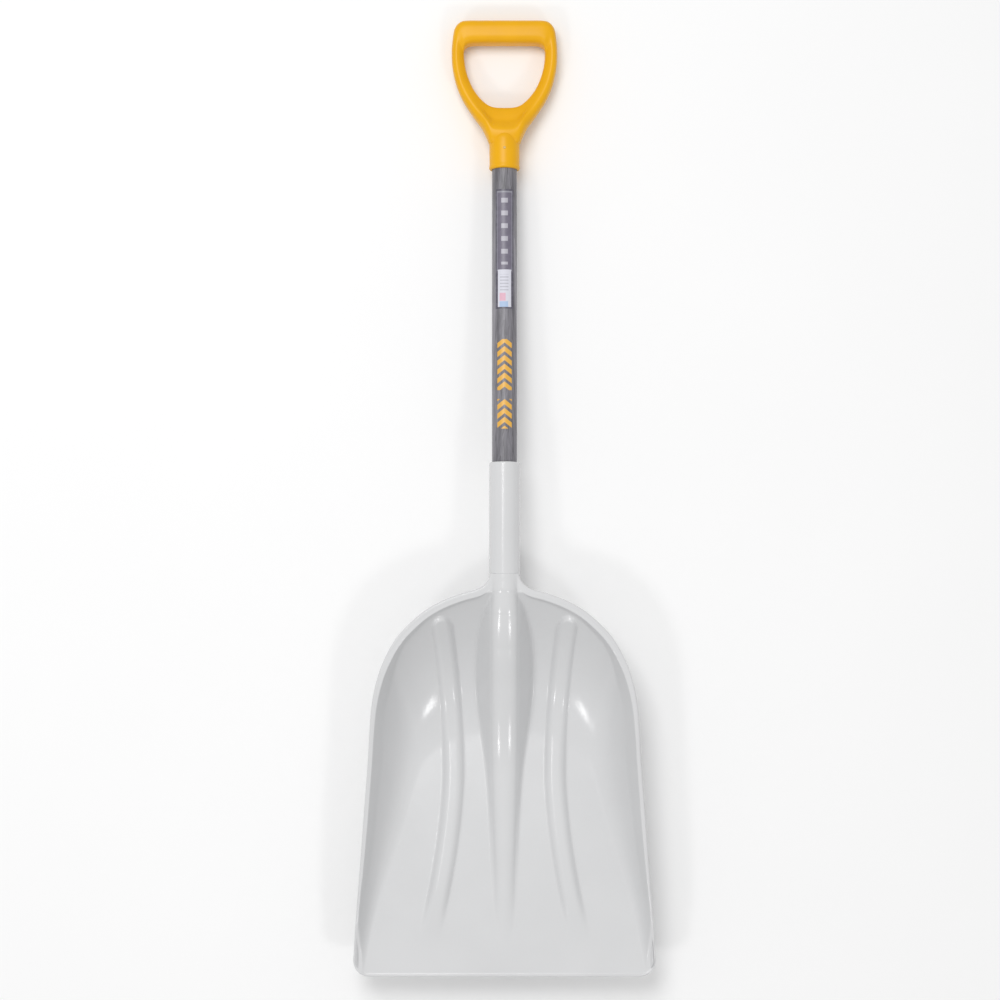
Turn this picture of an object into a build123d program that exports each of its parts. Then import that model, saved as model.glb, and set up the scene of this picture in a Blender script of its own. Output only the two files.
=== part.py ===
"""Snow shovel with a moulded scoop, a round wooden shaft and a moulded D-grip.

It lies on its back with the bowl up: +Y runs along the shaft to the grip, +X is to the
right and +Z is up. The origin is on the ground under the middle of its bounding box.
The underside of the scoop's heel and the bar of the grip rest on the ground at z = 0.
All sizes are in millimetres.
"""

from build123d import *
import math
import os

# Whole shovel
overall_length = 1250
end_y = overall_length / 2  # the grip's far edge; the cutting edge is at -end_y

# Handle line: the shaft, the socket and the grip share it, and it falls towards the grip
shoulder_y = -110
shoulder_axis_z = 75
bar_height = 32  # the grip's bar, across the shovel's plane
bar_width = 32  # the same bar, along the shaft
bar_axis_z = 16.24  # the middle of the bar as it rests, tilted, on the ground
handle_tilt = math.degrees(math.atan2(shoulder_axis_z - bar_axis_z, end_y - bar_width / 2 - shoulder_y))

# Shaft and what is on it
shaft_radius = 16.25
shaft_socket_end_y = -62
shaft_grip_end_y = 480
shaft_chamfer = 1.5
fit_gap = 0.05  # round the shaft, the pin and the screws in their holes
label_start_y, label_end_y, label_half_angle = 241, 398, 44
sticker_start_y, sticker_end_y, sticker_half_angle = 243, 292, 31
film = 0.25

# Socket
socket_radius = 20
socket_mouth_y = 42
socket_round_y = -125  # the socket is a plain tube from its mouth to here
socket_root = (-185, 58, 14)  # y, height and radius of the end where the socket meets the back wall
screw_ys = (12, -36)
screw_head_radius, screw_head_height = 5.0, 2.4
screw_shank_radius, screw_length = 2.2, 16
screw_seat = 19.2  # how far the flat under each head is from the handle line
screw_recess = 1.4

# Grip
ferrule_radius = 20.3
ferrule_mouth_y = 426
pin_y = 452
pin_radius = 2.0
arm_height = 24
arm_round = 6
bar_round = 13
bar_half_length = 62
ferrule_end_y = 492
pin_sink = 0.4
# (x, y) of each corner and its radius, with y from the grip's far edge
grip_corners = [(66.5, 0, 19), (70, -42, 60), (63, -90, 60), (30, -141, 60), (ferrule_radius, -157, 20)]
grip_foot_y = -172
opening_corners = [(54, -38, 9), (51, -66, 70), (38, -96, 40), (17, -116, 24)]

# Scoop
skin = 3.2
neck_half_width, neck_y, neck_middle = 18, -100, (33, -121.5)
front_half_width = 196.5
front_corner_radius = 20
# (rim x, y), then (x, y) where the wall that falls from there meets the floor
wall_pairs = [((0, -119), (0, -315)), ((56.6, -128), (45, -319)), ((102.4, -149), (80, -331)),
              ((140.4, -185.6), (102, -349)), ((164.8, -238.3), (114, -372)),
              ((180.4, -395.5), (135, -440)), ((190.7, -528), (168, -545)), ((196.5, -640), (188, -650))]
wall_levels = (0, 8, 32, 72, 130)  # above the floor
rim_back_z, rim_front_z = 88, 72
rim_level_y = -130  # behind this the rim is level
rim_band = 8
rim_skirt = 9
floor_y, floor_z = -315, 2.73  # a point of the floor's underside
floor_tilt = 11  # degrees, rising to the cutting edge

# Raised spine down the middle of the bowl: (y, height of its crest)
spine_crest = [(-108, 88), (-132, 94), (-155, 91), (-200, 78.5), (-262, 57), (-310, 43), (-352, 37),
               (-400, 38.5), (-462, 45), (-530, 53), (-600, 56)]
spine_back_radius, spine_front_radius = 19.5, 13
spine_flank = 65  # degrees from level
spine_hollow_from = 3  # the spine is hollow underneath from this place in its list

# Two curved side ribs
rib_inset, rib_inset_y = 67, -365
rib_spread_back, rib_spread_front, rib_spread_power = 0.0018, 0.0035, 1.7
rib_half_width, rib_height = 13, 6.5
rib_back_y, rib_front_y = -165, -560

os.makedirs("parts", exist_ok=True)


# Planes on the handle line

tilt = math.radians(handle_tilt)
axis_direction = Vector(0, math.cos(tilt), -math.sin(tilt))
up_direction = Vector(0, math.sin(tilt), math.cos(tilt))


def axis_point(y):
    """The point of the handle line at a distance y along the shovel."""
    return Vector(0, y, shoulder_axis_z - (y - shoulder_y) * math.tan(tilt))


def cross_plane(y):
    """A plane across the handle line whose normal points to the grip."""
    return Plane(origin=axis_point(y), x_dir=(1, 0, 0), z_dir=axis_direction)


def along(y_from, y_to):
    """The length along the handle line between two distances y."""
    return (y_to - y_from) / math.cos(tilt)


def height_plane(y):
    """A plane through the handle line, level across the shovel, with its y towards the grip."""
    return Plane(origin=axis_point(y), x_dir=(1, 0, 0), z_dir=up_direction)


def under_plane(y, away):
    """A plane below the handle line, facing away from it."""
    return Plane(origin=axis_point(y) - up_direction * away, x_dir=(1, 0, 0), z_dir=-up_direction)


# Shape of the scoop

slope = math.radians(floor_tilt)
floor_normal = (0, math.sin(slope), math.cos(slope))
floor_plane = Plane(origin=(0, floor_y, floor_z), x_dir=(1, 0, 0), z_dir=floor_normal)
well_past = 300  # farther than anything that a cut has to clear


def rim_height(y):
    """Level behind rim_level_y, then a parabola down to the front."""
    share = max(0, (rim_level_y - y) / (rim_level_y + end_y))
    return rim_back_z - (rim_back_z - rim_front_z) * share**2


def wall_point(pair, level, inset):
    """The point of a wall at a level above the floor, in the floor's own plane.

    The wall is a parabola that leaves the floor at the second point of the pair and
    reaches the height of the rim at the first. Above the rim it goes on outwards.
    """
    (rim_x, rim_y), (foot_x, foot_y) = pair
    rise = (rim_height(rim_y) - floor_z - math.tan(slope) * (floor_y - rim_y)) * math.cos(slope)
    share = 1 - math.sqrt(level / rise) + inset / math.hypot(rim_x - foot_x, rim_y - foot_y)
    x = rim_x + share * (foot_x - rim_x)
    y = rim_y + share * (foot_y - rim_y)
    return x, (y - floor_y - level * math.sin(slope)) / math.cos(slope)


def bowl(lift, inset, ahead):
    """A solid with the outside shape of the bowl, raised, drawn in and lengthened."""
    with BuildPart() as solid:
        for level in wall_levels:
            right = [wall_point(pair, level, inset) for pair in wall_pairs]
            left = [(-x, y) for x, y in right[:0:-1]]
            with BuildSketch(floor_plane.offset(level + lift)):
                with BuildLine():
                    edge = Spline(*left, *right)
                    Polyline(edge @ 0, edge @ 0 - (0, ahead), edge @ 1 - (0, ahead), edge @ 1)
                make_face()
        loft()
    return solid.part


def rib_place(y):
    """How far a side rib's middle is from the middle of the scoop."""
    spread = rib_spread_back if y > rib_inset_y else rib_spread_front
    return rib_inset + spread * abs(y - rib_inset_y) ** rib_spread_power


# Scoop

rim_places = [rim_place for rim_place, foot in wall_pairs]

with BuildLine():
    rim_curve = Spline(*rim_places[:-1], (front_half_width, -end_y + front_corner_radius),
                       tangents=((1, 0), (0, -1)))


def rim_point(share, inset):
    """A point of the right half of the rim, moved inwards."""
    inwards = (rim_curve % share).rotate(Axis.Z, -90)
    return rim_curve @ share + inwards * inset


def blade_plan(inset, open_front):
    """The blade from above, drawn in from its rim, and run on past the cutting edge if open."""
    with BuildSketch() as face:
        with BuildLine():
            half = Spline(*[rim_point(i / 12, inset) for i in range(13)], tangents=((1, 0), (0, -1)))
            if open_front:
                ahead = Line(half @ 1, ((half @ 1).X, -end_y - front_corner_radius))
                Line(ahead @ 1, (0, (ahead @ 1).Y))
            else:
                corner = TangentArc(half @ 1, (front_half_width - front_corner_radius, -end_y),
                                    tangent=(0, -1))
                Line(corner @ 1, (0, -end_y))
            mirror(about=Plane.YZ)
        make_face()
    return face.sketch


def under_rim(depth):
    """Everything from the height of the rim down to a depth below it."""
    behind_y, ahead_y = 10, -end_y - rim_band
    middle_y = (rim_level_y + ahead_y) / 2
    ahead_z = rim_height(ahead_y)
    with BuildPart() as slab:
        with BuildSketch(Plane.YZ):
            with BuildLine():
                Line((behind_y, rim_back_z - depth), (behind_y, rim_back_z))
                Line((behind_y, rim_back_z), (rim_level_y, rim_back_z))
                Bezier((rim_level_y, rim_back_z), (middle_y, rim_back_z), (ahead_y, ahead_z))
                Line((ahead_y, ahead_z), (ahead_y, ahead_z - depth))
                Bezier((ahead_y, ahead_z - depth), (middle_y, rim_back_z - depth),
                       (rim_level_y, rim_back_z - depth))
                Line((rim_level_y, rim_back_z - depth), (behind_y, rim_back_z - depth))
            make_face()
        extrude(amount=well_past, both=True)
    return slab.part


def edge_strip(width, depth):
    """A strip of the blade's edge, all round but for the cutting edge."""
    with BuildPart() as strip:
        add(blade_plan(0, False))
        extrude(amount=well_past)
        add(blade_plan(width, True))
        extrude(amount=well_past, mode=Mode.SUBTRACT)
        add(under_rim(depth), mode=Mode.INTERSECT)
    return strip.part


def spine_section(y, crest_z, inset):
    """A cross-section of the spine: a round top between two straight flanks."""
    share = min(1, max(0, (y + 530) / 330))
    radius = spine_front_radius + share * (spine_back_radius - spine_front_radius) - inset
    flank = math.radians(spine_flank)
    side_x, side_z = radius * math.sin(flank), crest_z - inset - radius * (1 - math.cos(flank))
    foot_x = side_x + (side_z + skin) / math.tan(flank)
    with BuildSketch(Plane(origin=(0, y, 0), x_dir=(1, 0, 0), z_dir=(0, -1, 0))) as section:
        with BuildLine():
            Line((-foot_x, -skin), (foot_x, -skin))
            Line((foot_x, -skin), (side_x, side_z))
            ThreePointArc((side_x, side_z), (0, crest_z - inset), (-side_x, side_z))
            Line((-side_x, side_z), (-foot_x, -skin))
        make_face()
    return section.sketch


def spine_solid(crest, inset):
    """The spine through a list of (y, height of its crest)."""
    with BuildPart() as solid:
        for y, crest_z in crest:
            add(spine_section(y, crest_z, inset))
        loft()
    return solid.part


bowl_outside = bowl(0, 0, rim_band)
bowl_inside = bowl(skin, skin / 2, well_past)

with BuildPart() as socket:
    with BuildSketch(Plane(origin=(0, *socket_root[:2]), x_dir=(1, 0, 0), z_dir=(0, 1, 0))):
        Circle(socket_root[2])
    with BuildSketch(cross_plane(socket_round_y)):
        Circle(socket_radius)
    loft()
    with BuildSketch(cross_plane(socket_round_y)):
        Circle(socket_radius)
    extrude(amount=along(socket_round_y, socket_mouth_y))

with BuildPart() as ribs:
    rib_ys = [rib_back_y + i * (rib_front_y - rib_back_y) / 5 for i in range(6)]
    with BuildSketch():
        with BuildLine():
            outer = Spline(*[(rib_place(y) + rib_half_width, y) for y in rib_ys])
            inner = Spline(*[(rib_place(y) - rib_half_width, y) for y in rib_ys])
            ThreePointArc(outer @ 0, (rib_place(rib_back_y), rib_back_y + rib_half_width), inner @ 0)
            ThreePointArc(outer @ 1, (rib_place(rib_front_y), rib_front_y - rib_half_width), inner @ 1)
        make_face()
        mirror(about=Plane.YZ)
    extrude(amount=well_past, both=True)
    add(bowl_outside, mode=Mode.INTERSECT)
    add(bowl(skin + rib_height, skin / 2, well_past), mode=Mode.SUBTRACT)

with BuildPart() as neck_web:
    with BuildSketch():
        with BuildLine():
            sweep_in = Spline((neck_half_width, neck_y), neck_middle, rim_places[1],
                              tangents=((0, -1), (1, -0.28)))
            Line(sweep_in @ 1, (0, (sweep_in @ 1).Y))
            Line((0, neck_y), sweep_in @ 0)
            mirror(about=Plane.YZ)
        make_face()
    extrude(amount=well_past)
    add(under_rim(rim_skirt), mode=Mode.INTERSECT)

with BuildPart() as spine:
    add(spine_solid(spine_crest, 0))
    add(bowl_outside, mode=Mode.INTERSECT)
    add(spine_solid(spine_crest[spine_hollow_from:], skin), mode=Mode.SUBTRACT)

with BuildPart() as scoop:
    add(blade_plan(0, False))
    extrude(amount=well_past, both=True)
    add(bowl_outside, mode=Mode.INTERSECT)
    add(bowl_inside, mode=Mode.SUBTRACT)
    add(under_rim(well_past), mode=Mode.INTERSECT)
    add(spine_solid(spine_crest[spine_hollow_from:], skin), mode=Mode.SUBTRACT)
    add(edge_strip(rim_band, skin))
    add(edge_strip(skin, rim_skirt))
    add(neck_web.part)
    add(ribs.part)
    add(spine.part)
    add(socket.part)
    with BuildSketch(cross_plane(shaft_socket_end_y - fit_gap)):
        Circle(shaft_radius + fit_gap)
    extrude(amount=along(shaft_socket_end_y, well_past), mode=Mode.SUBTRACT)
    for y in screw_ys:
        with BuildSketch(under_plane(y, screw_seat)):
            Circle(screw_head_radius + 2 * fit_gap)
        extrude(amount=screw_head_height, mode=Mode.SUBTRACT)
        with BuildSketch(under_plane(y, screw_seat)):
            Circle(screw_shank_radius + fit_gap)
        extrude(amount=-screw_length, mode=Mode.SUBTRACT)


# Screws, driven in from underneath

with BuildPart() as socket_screws:
    for y in screw_ys:
        with BuildSketch(under_plane(y, screw_seat)):
            Circle(screw_head_radius)
        extrude(amount=screw_head_height)
        with BuildSketch(under_plane(y, screw_seat + screw_head_height)):
            Rectangle(1.2, 6.4)
            Rectangle(6.4, 1.2)
        extrude(amount=-screw_recess, mode=Mode.SUBTRACT)
        with BuildSketch(under_plane(y, screw_seat)):
            Circle(screw_shank_radius)
        extrude(amount=-screw_length)


# Shaft, its label and its sticker

with BuildPart() as shaft:
    with BuildSketch(cross_plane(shaft_socket_end_y)):
        Circle(shaft_radius)
    extrude(amount=along(shaft_socket_end_y, shaft_grip_end_y))
    chamfer(shaft.edges().filter_by(GeomType.CIRCLE), shaft_chamfer)
    for y in screw_ys:
        with BuildSketch(under_plane(y, screw_seat)):
            Circle(screw_shank_radius + fit_gap)
        extrude(amount=-screw_length - fit_gap, mode=Mode.SUBTRACT)
    with BuildSketch(height_plane(pin_y)):
        Circle(pin_radius + fit_gap)
    extrude(amount=ferrule_radius, both=True, mode=Mode.SUBTRACT)


def film_on_shaft(y_from, y_to, half_angle, inner_radius):
    """A film bent round the top of the shaft."""
    with BuildPart() as piece:
        with BuildSketch(cross_plane(y_from)):
            with BuildLine():
                low, high = 270 - half_angle, 270 + half_angle
                inner = PolarLine((0, 0), inner_radius, low, mode=Mode.PRIVATE) @ 1
                outer = PolarLine((0, 0), inner_radius + film, high, mode=Mode.PRIVATE) @ 1
                CenterArc((0, 0), inner_radius, low, 2 * half_angle)
                CenterArc((0, 0), inner_radius + film, low, 2 * half_angle)
                PolarLine(inner, film, low)
                PolarLine(outer, -film, high)
            make_face()
        extrude(amount=along(y_from, y_to))
    return piece.part


with BuildPart() as shaft_label:
    add(film_on_shaft(label_start_y, label_end_y, label_half_angle, shaft_radius))

with BuildPart() as stock_sticker:
    add(film_on_shaft(sticker_start_y, sticker_end_y, sticker_half_angle, shaft_radius + film))


# Grip and its pin

grip_plane = height_plane(end_y)


def grip_plan():
    """The grip from above, with no opening."""
    with BuildSketch(grip_plane) as face:
        with BuildLine():
            FilletPolyline((0, 0), *[corner[:2] for corner in grip_corners], (ferrule_radius, grip_foot_y),
                           radius=[corner[2] for corner in grip_corners])
            Line((ferrule_radius, grip_foot_y), (0, grip_foot_y))
            mirror(about=Plane.YZ)
        make_face()
    return face.sketch


with BuildPart() as grip_envelope:
    add(grip_plan())
    extrude(amount=bar_height / 2, both=True)

with BuildPart() as d_grip:
    add(grip_plan())
    extrude(amount=arm_height / 2, both=True)
    with BuildSketch(grip_plane):
        with BuildLine():
            FilletPolyline((0, opening_corners[0][1]), *[corner[:2] for corner in opening_corners],
                           (0, opening_corners[-1][1]), radius=[corner[2] for corner in opening_corners])
            mirror(about=Plane.YZ)
        make_face()
    extrude(amount=arm_height, both=True, mode=Mode.SUBTRACT)
    faces = d_grip.faces().filter_by(GeomType.PLANE).sort_by(Axis(grip_plane.origin, up_direction))
    rounded = faces[0].edges() + faces[-1].edges()
    fillet([edge for edge in rounded if abs(edge.length - 2 * ferrule_radius) > 1], arm_round)
    with BuildSketch(Plane(origin=grip_plane.origin - axis_direction * bar_width / 2,
                           x_dir=axis_direction, z_dir=(1, 0, 0))):
        RectangleRounded(bar_width, bar_height, bar_round)
    extrude(amount=bar_half_length, both=True)
    add(grip_envelope.part, mode=Mode.INTERSECT)
    with BuildSketch(cross_plane(ferrule_mouth_y)):
        Circle(ferrule_radius)
    extrude(amount=along(ferrule_mouth_y, ferrule_end_y))
    with BuildSketch(cross_plane(ferrule_mouth_y)):
        Circle(shaft_radius + fit_gap)
    extrude(amount=along(ferrule_mouth_y, shaft_grip_end_y + fit_gap), mode=Mode.SUBTRACT)
    with BuildSketch(height_plane(pin_y)):
        Circle(pin_radius + fit_gap)
    extrude(amount=well_past, both=True, mode=Mode.SUBTRACT)

with BuildPart() as grip_pin:
    with BuildSketch(height_plane(pin_y)):
        Circle(pin_radius)
    extrude(amount=ferrule_radius - pin_sink, both=True)
    chamfer(grip_pin.edges().filter_by(GeomType.CIRCLE), pin_sink)


# Export

scoop.part.label = "scoop"
export_step(scoop.part, "parts/scoop.step")
socket_screws.part.label = "socket_screws"
export_step(socket_screws.part, "parts/socket_screws.step")
shaft.part.label = "shaft"
export_step(shaft.part, "parts/shaft.step")
shaft_label.part.label = "shaft_label"
export_step(shaft_label.part, "parts/shaft_label.step")
stock_sticker.part.label = "stock_sticker"
export_step(stock_sticker.part, "parts/stock_sticker.step")
d_grip.part.label = "d_grip"
export_step(d_grip.part, "parts/d_grip.step")
grip_pin.part.label = "grip_pin"
export_step(grip_pin.part, "parts/grip_pin.step")
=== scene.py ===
"""Looks of a snow shovel: a pale moulded scoop, a stained wooden shaft and a yellow D-grip.

The finer surfaces of the scoop and the grip are worked out here with numpy, in the frame
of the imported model. The shaft, its label, its sticker, the screws and the pin keep their
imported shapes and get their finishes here. Lengths inside the shape functions are in
millimetres, and they are turned into metres when a mesh is made.
"""

import math

import bpy
import numpy as np
from bpy.props import FloatProperty, FloatVectorProperty, PointerProperty
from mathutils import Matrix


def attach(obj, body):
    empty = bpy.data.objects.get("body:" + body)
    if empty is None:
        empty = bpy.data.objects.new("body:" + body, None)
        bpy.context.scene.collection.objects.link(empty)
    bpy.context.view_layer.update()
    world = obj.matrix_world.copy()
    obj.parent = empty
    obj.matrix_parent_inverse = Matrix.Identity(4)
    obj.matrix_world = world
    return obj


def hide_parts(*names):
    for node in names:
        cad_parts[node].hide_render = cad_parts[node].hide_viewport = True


bl_info = {
    "name": "Snow Shovel",
    "version": (1, 0, 0),
    "blender": (4, 5, 0),
    "location": "View3D > Sidebar > Shovel",
    "description": "Builds the scoop, grip and finishes of a snow shovel",
    "category": "Object",
}

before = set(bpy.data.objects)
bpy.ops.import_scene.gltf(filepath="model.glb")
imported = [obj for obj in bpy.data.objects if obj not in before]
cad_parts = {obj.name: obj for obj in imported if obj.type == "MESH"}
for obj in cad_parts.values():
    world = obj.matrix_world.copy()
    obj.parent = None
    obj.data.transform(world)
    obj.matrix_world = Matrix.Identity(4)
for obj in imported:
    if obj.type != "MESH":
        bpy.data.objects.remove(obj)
MM = 1000.0

# Handle line shared by the socket, the shaft and the grip: it falls towards the grip
GRIP_END = 625.0
BAR_HALF_WIDTH, BAR_AXIS_Z = 16.0, 16.24
SHOULDER_Y, SHOULDER_Z = -110.0, 75.0
TILT = math.atan2(SHOULDER_Z - BAR_AXIS_Z, GRIP_END - BAR_HALF_WIDTH - SHOULDER_Y)
ALONG = np.array([0.0, math.cos(TILT), -math.sin(TILT)])
UP = np.array([0.0, math.sin(TILT), math.cos(TILT)])
PER_Y = 1 / math.cos(TILT)  # distance along the handle line for each millimetre of y

# The bore for the shaft in the socket and the ferrule, a little wider at its lip
BORE_RADIUS, BORE_LIP_RADIUS = 16.33, 16.36
TUBE_SIDES = 96

# Print on the shaft and the label: where each stretch starts and ends along y, in metres
CHEVRON_SPANS = ((0.086, 0.124), (0.136, 0.202))
LABEL_PANEL, LABEL_FRAME, LABEL_BLOCKS = (0.2935, 0.3945), (0.2915, 0.3965), (0.300, 0.388)
LABEL_ROW = 0.0168
STICKER_ROSE, STICKER_BLUE, STICKER_DASHES = (0.2525, 0.2625), (0.2445, 0.2515), (0.2660, 0.2870)
STICKER_DASH = 0.0042


# ---------------------------------------------------------------- shader maths

class Sock:
    """A socket that can be added to, multiplied and so on, which adds Math nodes."""

    def __init__(self, tree, link):
        self.tree, self.link = tree, link

    def _math(self, operation, *values):
        return self.node("ShaderNodeMath", {"operation": operation}, dict(enumerate(values)))

    def node(self, kind, settings, values, output=0):
        """Adds one node: its settings are set first, then the values or links of its sockets."""
        node = self.tree.nodes.new(kind)
        for key, value in settings.items():
            if key == "stops":
                ramp = node.color_ramp
                while len(ramp.elements) < len(value):
                    ramp.elements.new(0.5)
                for element, (place, colour) in zip(ramp.elements, value):
                    element.position = place
                    element.color = (*colour, 1.0)
            else:
                setattr(node, key, value)
        for key, value in values.items():
            if isinstance(value, Sock):
                self.tree.links.new(value.link, node.inputs[key])
            else:
                node.inputs[key].default_value = value
        return Sock(self.tree, node.outputs[output])

    def __add__(self, other):
        return self._math("ADD", self, other)

    def __sub__(self, other):
        return self._math("SUBTRACT", self, other)

    def __mul__(self, other):
        return self._math("MULTIPLY", self, other)

    def __truediv__(self, other):
        return self._math("DIVIDE", self, other)

    def __rsub__(self, other):
        return self._math("SUBTRACT", other, self)

    __radd__ = __add__

    def __abs__(self):
        return self._math("ABSOLUTE", self)

    def fract(self):
        return self._math("FRACT", self)

    def step(self, low, high):
        """0 below low, 1 above high, and smooth between them."""
        return self.node("ShaderNodeMapRange", {"interpolation_type": "SMOOTHSTEP"},
                         {"Value": self, "From Min": low, "From Max": high})

    def within(self, low, high, soft):
        """1 between low and high, 0 outside them."""
        return self.step(low - soft, low) * (1 - self.step(high, high + soft))


class Finish:
    """A material with one Principled shader, and the places that its patterns start from."""

    def __init__(self, name, **values):
        self.material = bpy.data.materials.new(name)
        self.material.use_nodes = True
        self.tree = self.material.node_tree
        self.shader = self.tree.nodes["Principled BSDF"]
        for key, value in values.items():
            self.shader.inputs[key.replace("_", " ")].default_value = value
        coordinates = self.tree.nodes.new("ShaderNodeTexCoord")
        self.place = Sock(self.tree, coordinates.outputs["Object"])
        split = self.tree.nodes.new("ShaderNodeSeparateXYZ")
        self.tree.links.new(coordinates.outputs["Object"], split.inputs[0])
        self.x, self.y, self.z = (Sock(self.tree, split.outputs[i]) for i in range(3))

    def stretched(self, scale, turn=0.0):
        """Object coordinates turned about X and scaled by three factors."""
        return self.place.node("ShaderNodeMapping", {}, {"Vector": self.place, "Rotation": (turn, 0, 0),
                                                         "Scale": scale})

    def noise(self, scale, detail=3.0, vector=None, roughness=0.5):
        return self.place.node("ShaderNodeTexNoise", {}, {"Vector": vector or self.place, "Scale": scale,
                                                          "Detail": detail, "Roughness": roughness})

    def colours(self, value, *stops):
        return value.node("ShaderNodeValToRGB", {"stops": stops}, {"Fac": value})

    def mix(self, share, first, second):
        """The first colour where share is 0 and the second where it is 1."""
        mixer = self.tree.nodes.new("ShaderNodeMix")
        mixer.data_type = "RGBA"
        for index, value in ((0, share), (6, first), (7, second)):
            if isinstance(value, Sock):
                self.tree.links.new(value.link, mixer.inputs[index])
            else:
                mixer.inputs[index].default_value = value if index == 0 else (*value, 1.0)
        return Sock(self.tree, mixer.outputs[2])

    def bump(self, height, strength, distance):
        values = {"Height": height, "Strength": strength, "Distance": distance}
        self.put("Normal", height.node("ShaderNodeBump", {}, values))

    def put(self, socket, value):
        self.tree.links.new(value.link, self.shader.inputs[socket])


def scoop_finish(colour, gloss):
    """Pale moulded plastic: faint clouding, fine moulded texture, and scuffs that dull it."""
    f = Finish("scoop_plastic", IOR=1.48)
    cloud = f.noise(9.0, 4.0)
    speck = f.noise(420.0, 2.0)
    tone = f.colours(cloud * 0.8 + speck * 0.2, (0.30, [c * 0.955 for c in colour]), (0.70, colour))
    scuff = f.noise(60.0, 6.0, f.stretched((6.0, 0.35, 3.0)), 0.7).step(0.60, 0.74)
    f.put("Base Color", f.mix(scuff * 0.25, tone, [c * 0.90 for c in colour]))
    f.put("Roughness", gloss + cloud * 0.07 + scuff * 0.10)
    f.bump(f.noise(900.0, 2.0) * 0.6 + f.noise(160.0, 2.0) * 0.4, 0.10, 0.0006)
    return f.material


def grip_finish(colour, gloss):
    """Yellow moulded plastic, a little deeper in faint random clouds."""
    f = Finish("grip_plastic", IOR=1.49, Specular_IOR_Level=0.28)
    cloud = f.noise(26.0, 4.0)
    speck = f.noise(700.0, 2.0)
    tone = f.colours(cloud * 0.75 + speck * 0.25, (0.30, [colour[0] * 0.93, colour[1] * 0.90, colour[2]]),
                     (0.70, colour))
    f.put("Base Color", tone)
    f.put("Roughness", gloss + cloud * 0.12)
    f.bump(f.noise(1100.0, 2.0), 0.12, 0.0005)
    return f.material


def shaft_finish(dark, light, ink, bar_length):
    """Stained ash: long streaks of grain along the shaft, pores, and printed chevrons."""
    f = Finish("stained_wood", IOR=1.47)
    lengthwise = f.stretched((120.0, 3.2, 120.0), TILT)
    broad = f.noise(1.4, 5.0, lengthwise, 0.6)
    pores = f.noise(3.4, 4.0, f.stretched((260.0, 7.0, 260.0), TILT), 0.65)
    rings = (f.noise(0.8, 2.0, lengthwise) * 14.0).fract()
    streak = broad * 0.65 + pores * 0.25 + rings * 0.10
    wood = f.colours(streak, (0.34, dark), (0.52, [(a + b) / 2 for a, b in zip(dark, light)]), (0.68, light))
    axis_z = SHOULDER_Z / MM - (f.y - SHOULDER_Y / MM) * math.tan(TILT)
    on_top = (f.z - axis_z).step(0.004, 0.006)
    across = abs(f.x).within(-1.0, 0.0092, 0.0003)
    bars = ((f.y + abs(f.x) * 0.8) / bar_length).fract().within(0.22, 0.78, 0.03)
    lower, upper = (f.y.within(*span, 0.0005) for span in CHEVRON_SPANS)
    printed = on_top * across * bars * (lower + upper) * (1 - pores.step(0.60, 0.72) * 0.35)
    f.put("Base Color", f.mix(printed * 0.94, wood, ink))
    f.put("Roughness", 0.46 - pores * 0.12 - printed * 0.08)
    f.bump(pores * 0.7 + broad * 0.3, 0.22, 0.0006)
    return f.material


def label_finish(panel, edge):
    """A printed film: a dark panel in a pale thin frame, with plain blocks in place of words."""
    f = Finish("label_film", IOR=1.5)
    inner = f.y.within(*LABEL_PANEL, 0.0004) * abs(f.x).within(-1.0, 0.0090, 0.0004)
    frame_line = f.y.within(*LABEL_FRAME, 0.0004) * abs(f.x).within(-1.0, 0.0098, 0.0003) * (1 - inner)
    rows = ((f.y - LABEL_PANEL[0]) / LABEL_ROW).fract().within(0.24, 0.58, 0.03)
    block = rows * abs(f.x).within(-1.0, 0.0042, 0.0003) * f.y.within(*LABEL_BLOCKS, 0.0004)
    grain = f.noise(180.0, 4.0)
    base = f.mix(grain.step(0.35, 0.65) * 0.35, edge, panel)
    base = f.mix(inner * 0.55, base, panel)
    base = f.mix(frame_line * 0.55, base, (0.42, 0.42, 0.47))
    f.put("Base Color", f.mix(block * 0.75, base, (0.52, 0.51, 0.56)))
    f.put("Roughness", 0.30 + grain * 0.14)
    f.bump(grain, 0.05, 0.0003)
    return f.material


def sticker_finish(paper):
    """Coated paper with one rose and one pale blue block, and plain grey dashes."""
    f = Finish("sticker_paper", IOR=1.45)
    fibre = f.noise(900.0, 3.0)
    base = f.mix(fibre.step(0.35, 0.65) * 0.3, paper, [c * 0.93 for c in paper])
    rose = f.y.within(*STICKER_ROSE, 0.0004) * f.x.within(-0.0062, 0.0012, 0.0004)
    blue = f.y.within(*STICKER_BLUE, 0.0004) * f.x.within(-0.0062, 0.0045, 0.0004)
    dashes = (f.y / STICKER_DASH).fract().within(0.30, 0.66, 0.05) * f.y.within(*STICKER_DASHES, 0.0004)
    dashes = dashes * f.x.within(-0.0058, 0.0050, 0.0004)
    base = f.mix(rose * 0.85, base, (0.72, 0.38, 0.48))
    base = f.mix(blue * 0.85, base, (0.36, 0.50, 0.72))
    f.put("Base Color", f.mix(dashes * 0.45, base, (0.30, 0.30, 0.34)))
    f.put("Roughness", 0.42 + fibre * 0.15)
    f.bump(fibre, 0.08, 0.0003)
    return f.material


def steel_finish(name, tone):
    """Zinc-plated steel: fine turned marks and faint blotches."""
    f = Finish(name, Metallic=1.0)
    blotch = f.noise(500.0, 4.0)
    f.put("Base Color", f.colours(blotch, (0.35, [c * 0.72 for c in tone]), (0.65, tone)))
    f.put("Roughness", 0.30 + blotch * 0.22)
    f.bump(f.noise(2400.0, 2.0), 0.15, 0.0002)
    return f.material


# ---------------------------------------------------------------- mesh helpers

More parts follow.
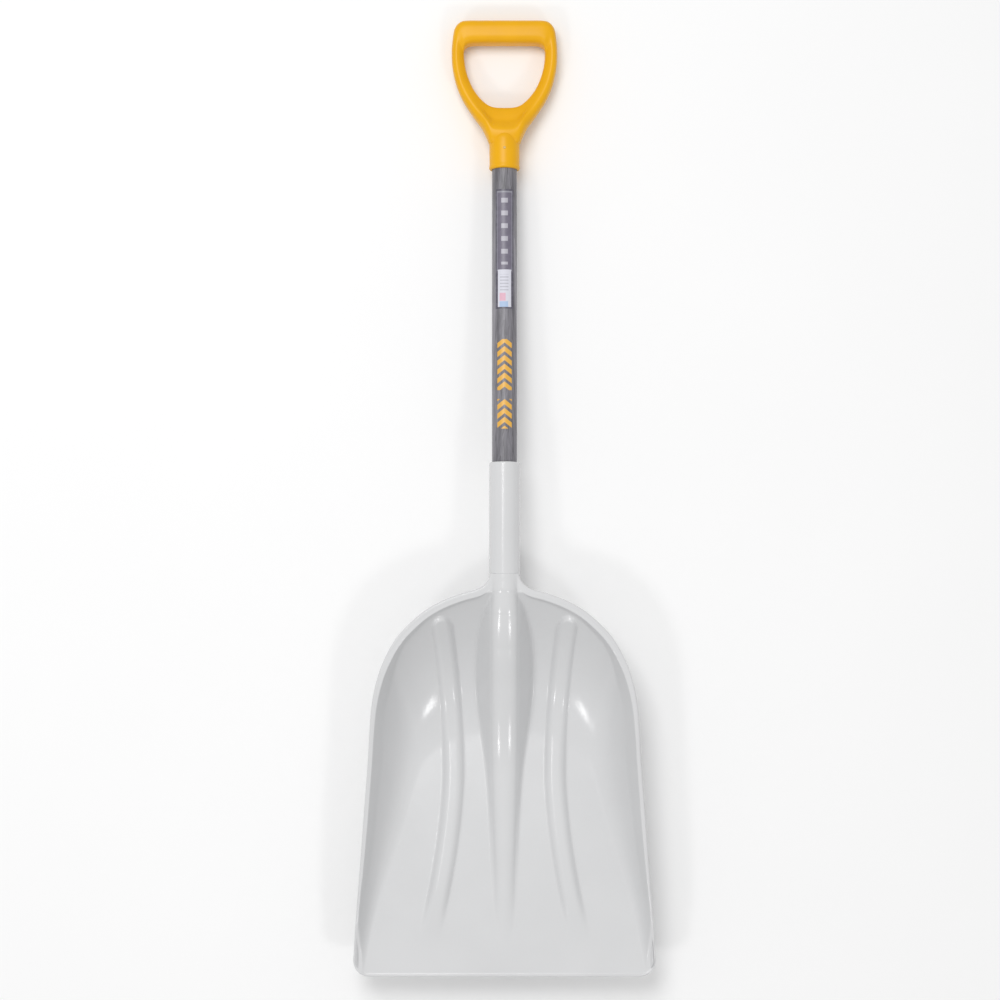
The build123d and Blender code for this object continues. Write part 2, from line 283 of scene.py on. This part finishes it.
def smooth_step(value, low, high):
    """0 below low, 1 above high, and smooth between them."""
    t = np.clip((value - low) / (high - low), 0.0, 1.0)
    return t * t * (3 - 2 * t)


def smooth_max(a, b, blend):
    """The larger of two heights, rounded over a blend distance where they cross."""
    h = np.clip(0.5 + 0.5 * (a - b) / blend, 0.0, 1.0)
    return b + (a - b) * h + blend * h * (1 - h)


def through(points, where):
    """A smooth curve through points: cubic pieces whose slope at a point is that of its neighbours."""
    points = np.asarray(points, float)
    last = len(points) - 1
    place = np.clip(np.asarray(where, float), 0, last - 1e-9)
    i = place.astype(int)
    t = place - i
    slopes = np.gradient(points, axis=0)
    t = t.reshape(t.shape + (1,) * (points.ndim - 1))
    a, b, m, n = points[i], points[i + 1], slopes[i], slopes[i + 1]
    return (a * (2 * t**3 - 3 * t**2 + 1) + m * (t**3 - 2 * t**2 + t)
            + b * (3 * t**2 - 2 * t**3) + n * (t**3 - t**2))


def by_y(table, y):
    """Values of a (y, value) table at y, smooth, with y falling along the table."""
    table = np.asarray(table, float)
    where = np.interp(-y, -table[:, 0], np.arange(len(table)))
    return through(table[:, 1], where)


def new_piece(name, vertices, faces, material, node):
    """A piece from millimetre points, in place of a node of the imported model.

    Its faces are turned outwards if its volume comes out negative.
    """
    points = np.asarray(vertices, float) / MM
    triangles = np.array([(f[0], f[i], f[i + 1]) for f in faces for i in range(1, len(f) - 1)])
    a, b, c = (points[triangles[:, i]] for i in range(3))
    if np.einsum("ij,ij->", a, np.cross(b, c)) < 0:
        faces = [tuple(reversed(f)) for f in faces]
    mesh = bpy.data.meshes.new(name)
    mesh.from_pydata(points.tolist(), [], faces)
    mesh.validate()
    mesh.polygons.foreach_set("use_smooth", [True] * len(mesh.polygons))
    mesh.materials.append(material)
    mesh.update()
    piece = bpy.data.objects.new(name, mesh)
    bpy.context.scene.collection.objects.link(piece)
    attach(piece, "root")
    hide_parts(node)


def ring_faces(rows, columns, close_rows):
    """Four-sided faces of a grid whose columns close on themselves."""
    i, j = np.meshgrid(np.arange(rows if close_rows else rows - 1), np.arange(columns), indexing="ij")
    row, next_row = i * columns, (i + 1) % rows * columns
    next_j = (j + 1) % columns
    quads = np.stack([row + j, row + next_j, next_row + next_j, next_row + j], -1)
    return [tuple(q) for q in quads.reshape(-1, 4).tolist()]


def tube_faces(rows, columns):
    """The faces of a closed tube: its sides, and one cap at each end."""
    last = (rows - 1) * columns
    caps = [tuple(range(columns))[::-1], tuple(last + i for i in range(columns))]
    return ring_faces(rows, columns, False) + caps


def turned(profile, start, direction, upward, count):
    """A profile of (distance along, radius) turned about a line, as a closed grid of points."""
    profile = np.asarray(profile, float)
    side = np.cross(direction, upward)
    angle = np.arange(count) * 2 * math.pi / count
    spoke = np.cos(angle)[:, None] * side + np.sin(angle)[:, None] * upward
    return start + profile[:, :1, None] * direction + profile[:, 1:, None] * spoke[None]


# ---------------------------------------------------------------- scoop

# (rim x, y) and (x, y) where the wall that falls from there meets the floor
RIM = [(0, -119), (56.6, -128), (102.4, -149), (140.4, -185.6), (164.8, -238.3), (180.4, -395.5),
       (190.7, -528), (196.5, -640)]
FOOT = [(0, -315), (45, -319), (80, -331), (102, -349), (114, -372), (135, -440), (168, -545), (188, -650)]
SKIN = 3.2
FLOOR_Y, FLOOR_Z, SLOPE = -315.0, 2.73, math.radians(11)
RIM_BACK_Z, RIM_DROP, RIM_LEVEL_Y, RIM_RUN = 88, 16, -130, 495
SKIRT_DEPTH = 9.0

# The rim's width in the middle, what it gains at the back and what it loses at the front
RIM_BAND, BAND_GAIN, BAND_LOSS = 5.6, 3.6, 2.9

# The side ribs: their distance from the middle where they are straightest, and their height
RIB_INSET, RIB_BEND_Y, RIB_HEIGHT = 67, -365, 7.0

# (y, height) of the spine's crest line
CREST = [(-60, 91.3), (-100, 94.6), (-118, 95.6), (-132, 94.8), (-155, 91), (-200, 78.5), (-262, 57),
         (-310, 43), (-352, 37), (-400, 38.5), (-462, 45), (-530, 52.6), (-600, 55.5), (-640, 58)]

# The right half of the blade's edge from above, which ends at the start of a round corner
EDGE_HALF_WIDTH, CORNER, CORNER_Y = 196.4, 21.0, -604
OUTLINE = [(17.6, -100), (19.6, -107), (25, -115), (35, -121.5), (56.6, -127.6), (81, -137), (102.4, -149),
           (121.7, -165), (140.4, -185.6), (154.5, -210.7), (164.8, -238.3), (171.3, -270), (174.2, -304),
           (176.4, -343), (180.4, -395.5), (185.4, -461.5), (190.7, -528), (194.8, -581.6),
           (EDGE_HALF_WIDTH, CORNER_Y)]
BOWL_MIDDLE = np.array([0.0, -380.0])
BATCH = 4000  # how many points are worked out together, which keeps the arrays small


def outline(count):
    """The right half of the blade's edge from above: a smooth curve, then a round corner."""
    side = through(OUTLINE, np.linspace(0, len(OUTLINE) - 1, count))
    angle = np.linspace(0, math.pi / 2, count // 8)[1:]
    corner_x = EDGE_HALF_WIDTH - CORNER + CORNER * np.cos(angle)
    corner = np.stack([corner_x, CORNER_Y - CORNER * np.sin(angle)], -1)
    return np.concatenate([side, corner])


def rim_height(y):
    """Level at the back, then a parabola down to the front."""
    return RIM_BACK_Z - RIM_DROP * np.clip((RIM_LEVEL_Y - y) / RIM_RUN, 0, None) ** 2


def floor_height(y):
    """The underside of the flat floor, which rises to the cutting edge."""
    return FLOOR_Z + math.tan(SLOPE) * (FLOOR_Y - y)


def wall_share(x, y):
    """How far up its wall each point is, 0 at the foot and 1 at the rim, and that wall's rise and width.

    Each wall is a straight line from above. The two lines of a dense fan that a point lies
    between are found by the change of sign of its distance to them, and the place between
    them is then refined by halving.
    """
    fan_lines, halvings, near_foot = 141, 18, -0.2
    x, y = np.abs(np.ravel(x)), np.ravel(y)
    fan = np.linspace(0, len(RIM) - 1, fan_lines)
    # each line starts with its second point mirrored, which keeps it smooth over the middle
    rim, foot = ([(-table[1][0], table[1][1])] + table for table in (RIM, FOOT))

    def lines(place):
        return through(rim, place + 1), through(foot, place + 1)

    def miss(place, px, py):
        r, f = lines(place)
        return (px - r[..., 0]) * (f - r)[..., 1] - (py - r[..., 1]) * (f - r)[..., 0]

    def share_of(place, px, py):
        r, f = lines(place)
        away = f - r
        along = (px - r[..., 0]) * away[..., 0] + (py - r[..., 1]) * away[..., 1]
        return 1 - along / (away**2).sum(-1)

    found = np.full(x.shape, -1.0)
    place = np.zeros(x.shape)
    for part in np.array_split(np.arange(len(x)), max(1, len(x) // BATCH)):
        px, py = x[part, None], y[part, None]
        gap = miss(fan[None], px, py)
        crosses = (gap[:, :-1] * gap[:, 1:]) <= 0
        middle = (fan[:-1] + fan[1:]) / 2
        share = np.where(crosses, share_of(middle[None], px, py), -1.0)
        best = share.argmax(1)
        found[part] = share[np.arange(len(part)), best]
        place[part] = fan[best]
    low, high = place.copy(), place + (fan[1] - fan[0])
    sign = np.sign(miss(low, x, y))
    for _ in range(halvings):
        mid = (low + high) / 2
        same = np.sign(miss(mid, x, y)) == sign
        low, high = np.where(same, mid, low), np.where(same, high, mid)
    mid = (low + high) / 2
    share = np.where(found > near_foot, np.clip(share_of(mid, x, y), 0, None), 0.0)
    r, f = lines(mid)
    rise = np.where(found > near_foot, rim_height(r[:, 1]) - floor_height(r[:, 1]), 0.0)
    return share, rise, np.hypot(*(f - r).T)


def bowl_height(share, rise, width, y, lift, inset):
    """The bowl: a tilted flat floor, and walls that climb from it as parabolas to the rim."""
    level = rise * np.where(share > 0, share + inset / width * smooth_step(share, 0, 0.15), 0) ** 2
    return np.minimum(floor_height(y) + level + lift, rim_height(y))


def ridge_height(x, y, inset):
    """The spine: a gently round top, whose crest line follows a table, between steep flanks.

    Behind the back wall its top has the socket's own radius. It flattens over the wall and
    then narrows to the front.
    """
    flatter = smooth_step(-y, 122, 176)
    front = smooth_step(-y, 300, 560)
    radius = 20 + 8 * flatter - 9 * front - inset
    side = 17.6 - 4.4 * front - inset * 0.5
    away = np.abs(x)
    soft = 1.6
    past = soft * np.logaddexp(0, (away - side) / soft)
    arc = np.sqrt(np.clip(radius**2 - np.minimum(away, side) ** 2, 0, None)) - radius
    return by_y(CREST, y) - inset + arc - past * (2.3 - 0.9 * front)


def rib_lift(x, y):
    """Two half-round ribs that bow towards the spine, with blunt backs, fading to the front."""
    spread = np.where(y > RIB_BEND_Y, 0.0018, 0.0035) * np.abs(y - RIB_BEND_Y) ** 1.7
    off = np.abs(np.abs(x) - RIB_INSET - spread)
    cross = np.sqrt(smooth_step(-off, -14.6, -4.5)) * smooth_step(-off, -14.6, -12.4)
    back = 1 - smooth_step(y + off * off * 0.06, -164, -154)
    front = smooth_step(y, -580, -515)
    return cross * back * front


def edge_distance(x, y, edge):
    """The shortest distance from each point to the blade's edge line, its front included."""
    edge = np.concatenate([edge, [(0.0, edge[-1, 1])]])
    start, way = edge[:-1], np.diff(edge, axis=0)
    size = (way**2).sum(1)
    x, y = np.abs(np.ravel(x)), np.ravel(y)
    away = np.empty(x.shape)
    for part in np.array_split(np.arange(len(x)), max(1, len(x) // BATCH)):
        dx, dy = x[part, None] - start[None, :, 0], y[part, None] - start[None, :, 1]
        t = np.clip((dx * way[:, 0] + dy * way[:, 1]) / size, 0, 1)
        away[part] = np.hypot(dx - t * way[:, 0], dy - t * way[:, 1]).min(1)
    return away


def scoop_rows():
    """Distances y of the cross-sections, close together where the edge turns."""
    stretches = ((-101, -131, 36), (-131, -168, 32), (-168, -230, 26), (-230, CORNER_Y, 66))
    return np.concatenate([*(np.linspace(*stretch, endpoint=False) for stretch in stretches),
                           CORNER_Y - CORNER * np.sin(np.linspace(0, 1, 22) * math.pi / 2)])


def front_fade(y):
    """1 over most of the blade, falling smoothly to 0 at the cutting edge."""
    return 1 - smooth_step(-y, 548, 624)


def crest_height(y):
    """The height of the edge's bead: the rim, falling to just over the floor at the front."""
    fade = front_fade(y)
    return (rim_height(y) - 0.35) * fade + (floor_height(y) + SKIN + 0.9) * (1 - fade)


def blade_sheet(x, y, edge):
    """The height of the blade's upper face: bowl, ribs, spine and rolled rim in one smooth sheet."""
    share, rise, width = wall_share(x, y)
    shape = x.shape
    flat_x, flat_y = x.ravel(), y.ravel()
    bowl = bowl_height(share, rise, width, flat_y, SKIN * 1.02, SKIN / 2)
    steep = np.clip(2 * rise * share / width, 0, 2)
    rib = RIB_HEIGHT * (1 + 0.10 * steep) * rib_lift(flat_x, flat_y)
    bowl = bowl + rib * (1 - smooth_step(share, 0.86, 0.97))
    away = edge_distance(flat_x, flat_y, edge)
    band = RIM_BAND + BAND_GAIN * smooth_step(flat_y, -330, -170) - BAND_LOSS * smooth_step(-flat_y, 400, 590)
    crest = crest_height(flat_y)
    turned_down = 1.5 * np.clip(1 - away / 2.4, 0, 1) ** 2
    rim = crest - turned_down - 2.6 * np.clip(away - band, 0, None)
    inside = np.minimum(bowl, np.maximum(crest, floor_height(flat_y) + SKIN))
    sheet = np.minimum(smooth_max(inside, rim, 1.4), np.maximum(crest + 0.1, bowl) - turned_down)
    return smooth_max(ridge_height(flat_x, flat_y, 0.35), sheet, 5.0).reshape(shape)


def under_sheet(x, y):
    """The height of the blade's lower face: the bowl's outside, hollow under the spine."""
    share, rise, width = wall_share(x, y)
    flat_x, flat_y = x.ravel(), y.ravel()
    bowl = bowl_height(share, rise, width, flat_y, 0.05, 0)
    bowl = np.minimum(bowl, rim_height(flat_y) - SKIN)
    hollow = ridge_height(flat_x, flat_y, SKIN) - 30 * smooth_step(flat_y, -206, -190)
    return smooth_max(hollow, bowl, 3.0).reshape(x.shape)


def edge_at(edge, ys):
    """The blade's half width at each y, and the unit vector that points inwards from its edge there."""
    falling = np.argsort(-edge[:, 1])
    step = np.gradient(edge, axis=0)
    inward = np.stack([step[:, 1], -step[:, 0]], -1)
    inward /= np.hypot(*inward.T)[:, None]
    inward *= np.sign((inward * (BOWL_MIDDLE - edge)).sum(1))[:, None]
    return [np.interp(-ys, -edge[falling, 1], values[falling]) for values in (edge[:, 0], *inward.T)]


def spread_across(start, count):
    """Places from start to -start across the blade, closer together at its middle and its edges."""
    w = np.linspace(start, -start, 2 * count + 1)
    return w - 0.45 * np.sin(2 * math.pi * w) / (2 * math.pi)


def end_cap(base, upper, skirt, lower):
    """Closes the end of the sheet whose points start at base: two upper spans for each lower one.

    The other arguments are how many points the upper face, one skirt and the lower face have.
    """
    up = [base + i for i in range(upper)]
    low = [base + upper + skirt + i for i in range(lower)][::-1]
    done = [(low[i], low[i + 1], up[2 * i + 2], up[2 * i + 1], up[2 * i]) for i in range(lower - 1)]
    right_side = [up[-1]] + [base + upper + i for i in range(skirt)] + [low[-1]]
    left_side = [low[0]] + [base + upper + skirt + lower + i for i in range(skirt)] + [up[0]]
    return done + [tuple(right_side[::-1]), tuple(left_side[::-1])]


def build_blade(material):
    """The blade: cross-sections that go over its upper face, round each skirt and under it."""
    upper_count, lower_count = 148, 74
    edge = outline(360)
    ys = scoop_rows()
    half, nx, ny = edge_at(edge, ys)
    spread = spread_across(-1, upper_count)
    x = half[:, None] * spread[None]
    y = np.repeat(ys[:, None], len(spread), 1)
    upper = np.stack([x, y, blade_sheet(x, y, edge)], -1)

    fade = front_fade(ys)
    lip_z = upper[:, -1, 2]
    deep = rim_height(ys) - SKIRT_DEPTH
    thin = np.minimum(lip_z - SKIN, floor_height(ys) + 0.05)
    bottom = thin + (deep - thin) * fade
    reach = SKIN * np.clip(1 - 0.9 * smooth_step(-ys, 616, 625), 0.1, 1)
    edge_x, edge_y = half + nx * reach, ys + ny * reach
    spread_low = spread_across(1, lower_count)
    x_low = edge_x[:, None] * spread_low[None]
    y_low = ys[:, None] + (edge_y - ys)[:, None] * np.abs(spread_low[None]) ** 6
    z_low = under_sheet(x_low, y_low)
    lower = np.stack([x_low, y_low, z_low], -1)
    inner_z = np.maximum(z_low[:, 0], bottom)

    def skirt(side):
        """Points down the outside of the rim's skirt, round its edge and up inside it."""
        rows = []
        for out, drop in ((0.0, 0.12), (0.0, 0.45), (0.0, 0.86), (0.22, 0.985), (0.5, 1.0), (0.8, 0.985),
                          (1.0, 0.86)):
            rows.append(np.stack([side * (half + nx * reach * out), ys + ny * reach * out,
                                  lip_z + (bottom - lip_z) * drop], -1))
        rows.append(np.stack([side * edge_x, edge_y, bottom + (inner_z - bottom) * 0.5], -1))
        return rows

    right, left = skirt(1), skirt(-1)[::-1]
    loop = np.concatenate([upper, np.stack(right, 1), lower, np.stack(left, 1)], 1)
    rows, columns = loop.shape[:2]
    counts = upper.shape[1], len(right), lower.shape[1]
    back, front = end_cap(0, *counts), end_cap((rows - 1) * columns, *counts)
    faces = ring_faces(rows, columns, False) + [tuple(reversed(f)) for f in back] + front
    new_piece("scoop_blade", loop.reshape(-1, 3), faces, material, "scoop")


def build_socket(material):
    """The socket: a tube turned about the handle line with a rounded mouth and a bore for the shaft."""
    start = np.array([0.0, 0.0, SHOULDER_Z + SHOULDER_Y * math.tan(TILT)])
    radius, end = 19.97, -124.5 * PER_Y
    mouth, floor = 42.0 * PER_Y, -62.05 * PER_Y
    root_middle, tip_middle, root_radius = np.array([0, -186, 57.5]), np.array([0, -188.0, 57.5]), 13.6
    lip_round = 2.2
    turn = np.linspace(0, math.pi / 2, 7)
    lip = [(mouth - lip_round * (1 - math.sin(a)), radius - lip_round * (1 - math.cos(a))) for a in turn]
    outside = [(s, radius) for s in np.linspace(end, mouth - 3.0, 40)]
    inside = [(mouth - 0.5, 16.9), (mouth - 1.4, BORE_LIP_RADIUS)]
    inside += [(s, BORE_RADIUS) for s in np.linspace(mouth - 6, floor, 8)]
    profile = outside + lip + inside + [(floor, 0.01)]
    tube = turned(profile, start, ALONG, UP, TUBE_SIDES)
    level = np.array([0, 1.0, 0])
    root = []
    for share in np.linspace(0, 1, 12):
        middle = (1 - share) * (start + ALONG * end) + share * root_middle
        direction = ALONG * (1 - share) + level * share
        size = radius * (1 - share) + root_radius * share
        root.append(turned([(0.0, size)], middle, direction, UP, TUBE_SIDES)[0])
    tip = turned([(0.0, 0.01)], tip_middle, level, UP, TUBE_SIDES)
    grid = np.concatenate([tip, np.array(root[::-1])[:-1], tube], 0)
    new_piece("scoop_socket", grid.reshape(-1, 3), tube_faces(*grid.shape[:2]), material, "scoop")


# ---------------------------------------------------------------- grip

# Right half of the ring's outer and inner lines from above: (x, distance from the far edge)
RING_OUT = [(0, 0.6), (28, 0.6), (50, 0.8), (59, 3.2), (65.6, 11), (68.2, 24), (69.6, 43.5), (68.2, 64.6),
            (62.8, 88), (53.4, 109), (39.8, 130), (29.8, 143.5), (23.8, 155.5), (17.2, 168), (0, 171)]
RING_IN = [(0, 31.8), (25, 31.8), (43, 32.2), (50.5, 35.5), (53.0, 41), (53.2, 46), (52.6, 54), (50.6, 66),
           (46.6, 79), (40.6, 92), (33.5, 102), (26, 109.5), (19, 114), (11, 116), (0, 116.4)]
RING_HALF = [15.9, 15.9, 15.8, 15.2, 14.0, 13.0, 12.4, 12.0, 12.0, 12.4, 13.6, 15.6, 17.4, 17.8, 18.2]


def grip_point(x, away, height):
    """Points of the grip: x across, distance from its far edge, height above the handle line."""
    far = np.array([0.0, GRIP_END, SHOULDER_Z - (GRIP_END - SHOULDER_Y) * math.tan(TILT)])
    return (far + np.asarray(x)[..., None] * np.array([1.0, 0, 0])
            - np.asarray(away)[..., None] * ALONG + np.asarray(height)[..., None] * UP)


def build_grip(material):
    """A ring carried round the hand opening.

    Its section runs from the inner line to the outer line. It is a rounded oblong at the
    bar. On the arms its outer edge is a full round band and it falls away to the opening,
    and a thinner web joins the two arms ahead of the ferrule.
    """
    half = np.linspace(0, len(RING_OUT) - 1, 170)
    outer, inner, tall = through(RING_OUT, half), through(RING_IN, half), through(RING_HALF, half)
    mirrored = slice(-2, 0, -1)
    outer = np.concatenate([outer, outer[mirrored] * [-1, 1]])
    inner = np.concatenate([inner, inner[mirrored] * [-1, 1]])
    tall = np.concatenate([tall, tall[mirrored]])
    place = np.concatenate([half, half[mirrored]])
    turn = np.linspace(0, 2 * math.pi, 72, endpoint=False)
    cosine, sine = np.cos(turn), np.sin(turn)
    arms = smooth_step(place, 3.0, 5.0)[:, None]
    power = 0.62 + 0.10 * arms
    across = np.sign(cosine) * np.abs(cosine) ** power
    share = (across + 1) / 2
    height = np.sign(sine) * np.abs(sine) ** power
    slope = 1 - arms * 0.34 * smooth_step(1 - share, 0.35, 1.0)
    foot = smooth_step(place, 9.0, 12.0)[:, None]
    web = 0.60 + 0.40 * smooth_step(share, 0.30, 0.62)
    height = height * slope * (1 - foot + foot * web)
    x = inner[:, :1] + (outer - inner)[:, :1] * share
    away = inner[:, 1:] + (outer - inner)[:, 1:] * share
    grid = grip_point(x, away, height * tall[:, None])
    rows, columns = grid.shape[:2]
    new_piece("grip_ring", grid.reshape(-1, 3), ring_faces(rows, columns, True), material, "d_grip")


def build_ferrule(material):
    """The ferrule: a tube turned about the handle line, with a bead round its mouth."""
    start = grip_point(0.0, 0.0, 0.0)
    mouth, floor = (426.0 - GRIP_END) * PER_Y, (480.05 - GRIP_END) * PER_Y
    turn = np.linspace(0, math.pi, 9)
    bead = [(mouth + 2.6 - 2.6 * math.sin(a / 2), 16.8 + 3.4 * math.cos(a / 2)) for a in turn]
    outside = ((3.4, 20.1), (5.0, 19.95), (6.2, 19.7), (7.4, 19.65), (20, 19.7), (32, 19.8),
               (40, 19.6), (44, 18.8), (48, 16.8), (52, 13.0), (54.5, 7.5), (55.5, 0.01))
    body = [(mouth + s, r) for s, r in outside]
    inside = [(mouth + 1.2, BORE_LIP_RADIUS)] + [(s, BORE_RADIUS) for s in np.linspace(mouth + 5, floor, 6)]
    grid = turned(body[::-1] + bead + inside + [(floor, 0.01)], start, ALONG, UP, TUBE_SIDES)
    new_piece("grip_ferrule", grid.reshape(-1, 3), tube_faces(*grid.shape[:2]), material, "d_grip")


# ---------------------------------------------------------------- sizes, colours and operators

def colour_property(name, description, default):
    return FloatVectorProperty(name=name, description=description, default=default, size=3, min=0, max=1,
                               subtype="COLOR")


class ShovelScoop(bpy.types.PropertyGroup):
    colour: colour_property("Scoop colour", "Colour of the moulded scoop", (0.665, 0.668, 0.675))
    gloss: FloatProperty(name="Scoop roughness", description="How dull the scoop's surface is", default=0.13,
                         min=0, max=1, subtype="FACTOR")


class ShovelHandle(bpy.types.PropertyGroup):
    dark: colour_property("Dark grain", "Colour of the wood's dark grain", (0.085, 0.083, 0.092))
    light: colour_property("Pale grain", "Colour of the wood's pale grain", (0.30, 0.29, 0.32))
    ink: colour_property("Ink", "Colour of the printed bars", (0.80, 0.43, 0.06))
    bar_length: FloatProperty(name="Bar spacing", description="Distance from one printed bar to the next",
                              default=0.0115, min=0.002, unit="LENGTH")
    panel: colour_property("Label panel", "Colour of the label's panel", (0.21, 0.19, 0.25))
    edge: colour_property("Label edge", "Colour of the label's edge", (0.085, 0.082, 0.105))
    paper: colour_property("Sticker paper", "Colour of the sticker's paper", (0.66, 0.66, 0.73))


class ShovelGrip(bpy.types.PropertyGroup):
    colour: colour_property("Grip colour", "Colour of the moulded grip", (0.84, 0.425, 0.003))
    gloss: FloatProperty(name="Grip roughness", description="How dull the grip's surface is", default=0.30,
                         min=0, max=1, subtype="FACTOR")


class ShovelStage(bpy.types.PropertyGroup):
    height: FloatProperty(name="Camera height", description="Height of the camera over the ground",
                          default=3.05, min=0.5, unit="LENGTH")
    lens: FloatProperty(name="Lens", description="Focal length of the camera in millimetres",
                        default=82.8, min=10)
    floor: colour_property("Floor colour", "Colour of the floor", (0.93, 0.93, 0.93))
    light: FloatProperty(name="Light", description="Power of each large soft light", default=17.0, min=0,
                         unit="POWER")


class SHOVEL_OT_scoop(bpy.types.Operator):
    """Builds the blade and the socket of the scoop"""
    bl_idname = "shovel.scoop"
    bl_label = "Scoop"

    def execute(self, context):
        settings = context.scene.shovel_scoop
        material = scoop_finish(tuple(settings.colour), settings.gloss)
        build_blade(material)
        build_socket(material)
        return {"FINISHED"}


class SHOVEL_OT_grip(bpy.types.Operator):
    """Builds the ring and the ferrule of the D-grip"""
    bl_idname = "shovel.grip"
    bl_label = "D-grip"

    def execute(self, context):
        settings = context.scene.shovel_grip
        material = grip_finish(tuple(settings.colour), settings.gloss)
        build_grip(material)
        build_ferrule(material)
        return {"FINISHED"}


class SHOVEL_OT_handle(bpy.types.Operator):
    """Gives the shaft, its label, its sticker, the screws and the pin their finishes"""
    bl_idname = "shovel.handle"
    bl_label = "Shaft and fittings"

    def execute(self, context):
        s = context.scene.shovel_handle
        finishes = {
            "shaft": shaft_finish(tuple(s.dark), tuple(s.light), tuple(s.ink), s.bar_length),
            "shaft_label": label_finish(tuple(s.panel), tuple(s.edge)),
            "stock_sticker": sticker_finish(tuple(s.paper)),
            "socket_screws": steel_finish("screw_steel", (0.55, 0.55, 0.56)),
            "grip_pin": steel_finish("pin_steel", (0.34, 0.24, 0.10)),
        }
        for node, material in finishes.items():
            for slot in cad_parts[node].material_slots:
                slot.material = material
        return {"FINISHED"}


class SHOVEL_OT_stage(bpy.types.Operator):
    """Makes the floor, the lights and the camera"""
    bl_idname = "shovel.stage"
    bl_label = "Stage"

    def execute(self, context):
        s = context.scene.shovel_stage
        mesh = bpy.data.meshes.new("floor")
        reach, level = 6, -0.0005
        corners = ((-reach, -reach), (reach, -reach), (reach, reach), (-reach, reach))
        mesh.from_pydata([(x, y, level) for x, y in corners], [], [(0, 1, 2, 3)])
        pale = Finish("pale_floor", Roughness=0.85)
        pale.put("Base Color", pale.colours(pale.noise(3.0), (0.3, [c * 0.99 for c in s.floor]),
                                            (0.7, tuple(s.floor))))
        mesh.materials.append(pale.material)
        ground = bpy.data.objects.new("floor", mesh)
        context.scene.collection.objects.link(ground)

        world = bpy.data.worlds.new("studio")
        world.use_nodes = True
        world.node_tree.nodes["Background"].inputs["Color"].default_value = (1, 1, 1, 1)
        world.node_tree.nodes["Background"].inputs["Strength"].default_value = 0.55
        context.scene.world = world
        for name, place, size, share in (("left_light", (-1.5, -1.5, 2.3), 0.42, 0.55),
                                         ("right_light", (1.35, -1.6, 2.3), 0.42, 0.50),
                                         ("top_light", (-0.6, 1.3, 3.1), 1.5, 3.0)):
            lamp = bpy.data.lights.new(name, "AREA")
            lamp.shape, lamp.size, lamp.energy = "SQUARE", size, s.light * share
            light = bpy.data.objects.new(name, lamp)
            context.scene.collection.objects.link(light)
            light.location = place
            aim = np.array([0.0, -0.1, 0.0]) - np.array(place)
            light.rotation_euler = (math.acos(-aim[2] / np.linalg.norm(aim)), 0,
                                    math.atan2(aim[1], aim[0]) - math.pi / 2)
        camera = bpy.data.objects.new("camera", bpy.data.cameras.new("camera"))
        context.scene.collection.objects.link(camera)
        camera.location = (-0.0059, -0.0066, s.height)
        camera.data.lens, camera.data.sensor_width = s.lens, 36.0
        context.scene.camera = camera
        context.scene.view_settings.view_transform = "Standard"
        return {"FINISHED"}


class SHOVEL_PT_panel(bpy.types.Panel):
    """Lists the pieces of the shovel"""
    bl_label = "Snow Shovel"
    bl_idname = "SHOVEL_PT_panel"
    bl_space_type = "VIEW_3D"
    bl_region_type = "UI"
    bl_category = "Shovel"

    def draw(self, context):
        for settings, operator in (("shovel_scoop", "shovel.scoop"), ("shovel_handle", "shovel.handle"),
                                   ("shovel_grip", "shovel.grip"), ("shovel_stage", "shovel.stage")):
            box = self.layout.box()
            group = getattr(context.scene, settings)
            for name in group.bl_rna.properties.keys():
                if name not in ("rna_type", "name"):
                    box.prop(group, name)
            box.operator(operator)


GROUPS = {"shovel_scoop": ShovelScoop, "shovel_handle": ShovelHandle, "shovel_grip": ShovelGrip,
          "shovel_stage": ShovelStage}
OTHERS = (SHOVEL_OT_scoop, SHOVEL_OT_handle, SHOVEL_OT_grip, SHOVEL_OT_stage, SHOVEL_PT_panel)


def register():
    for name, group in GROUPS.items():
        bpy.utils.register_class(group)
        setattr(bpy.types.Scene, name, PointerProperty(type=group))
    for item in OTHERS:
        bpy.utils.register_class(item)


def unregister():
    for item in reversed(OTHERS):
        bpy.utils.unregister_class(item)
    for name, group in reversed(GROUPS.items()):
        delattr(bpy.types.Scene, name)
        bpy.utils.unregister_class(group)


def main():
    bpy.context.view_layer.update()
    register()
    bpy.ops.shovel.scoop()
    bpy.ops.shovel.handle()
    bpy.ops.shovel.grip()
    bpy.ops.shovel.stage()


if __name__ == "__main__":
    main()
